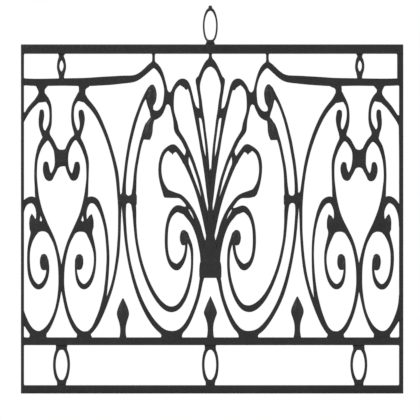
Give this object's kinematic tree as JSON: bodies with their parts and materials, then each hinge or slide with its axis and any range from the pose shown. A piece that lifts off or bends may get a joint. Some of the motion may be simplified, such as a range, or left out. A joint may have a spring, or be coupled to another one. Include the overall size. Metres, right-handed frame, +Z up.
{
  "type": "ornamental railing panel",
  "caption": "Framed iron railing panel filled with leaf-ended scrolls, a palmette fan, lyre motifs, rings and spear points, fixed by its flat frame faces.",
  "frame": {"origin": "middle of the flat underside of the bottom rail, in the middle plane of the panel", "axes": "+X along the panel to the right seen from the front, +Y through the panel to the back, +Z up"},
  "size_m": [1.0508, 0.03, 1.0668],
  "materials": {
    "painted_bar": "satin",
    "painted_casting": "satin"
  },
  "bodies": {
    "root": {"bottom_rail": "painted_bar", "inner_scroll_left": "painted_bar", "inner_scroll_right": "painted_bar", "left_post": "painted_bar", "lower_rail": "painted_bar", "lower_ring_center": "painted_casting", "lower_ring_left": "painted_casting", "lower_ring_right": "painted_casting", "lyre_left_clasp": "painted_casting", "lyre_left_inner_arch": "painted_bar", "lyre_left_inner_bow": "painted_bar", "lyre_left_inner_stem": "painted_bar", "lyre_left_outer_arch": "painted_bar", "lyre_left_outer_bow": "painted_bar", "lyre_left_outer_stem": "painted_bar", "lyre_right_clasp": "painted_casting", "lyre_right_inner_arch": "painted_bar", "lyre_right_inner_bow": "painted_bar", "lyre_right_inner_stem": "painted_bar", "lyre_right_outer_arch": "painted_bar", "lyre_right_outer_bow": "painted_bar", "lyre_right_outer_stem": "painted_bar", "outer_scroll_left": "painted_bar", "outer_scroll_right": "painted_bar", "palmette_base": "painted_casting", "palmette_center_leaf": "painted_casting", "palmette_lower_leaf_left": "painted_casting", "palmette_lower_leaf_right": "painted_casting", "palmette_upper_leaf_left": "painted_casting", "palmette_upper_leaf_right": "painted_casting", "right_post": "painted_bar", "scroll_collar_left": "painted_casting", "scroll_collar_right": "painted_casting", "spear_center": "painted_casting", "spear_left": "painted_casting", "spear_right": "painted_casting", "top_finial_ring": "painted_casting", "top_rail": "painted_bar", "upper_rail_left": "painted_bar", "upper_rail_right": "painted_bar", "upper_ring_left": "painted_casting", "upper_ring_right": "painted_casting", "volute_left": "painted_bar", "volute_right": "painted_bar"}
  },
  "joints": []
}
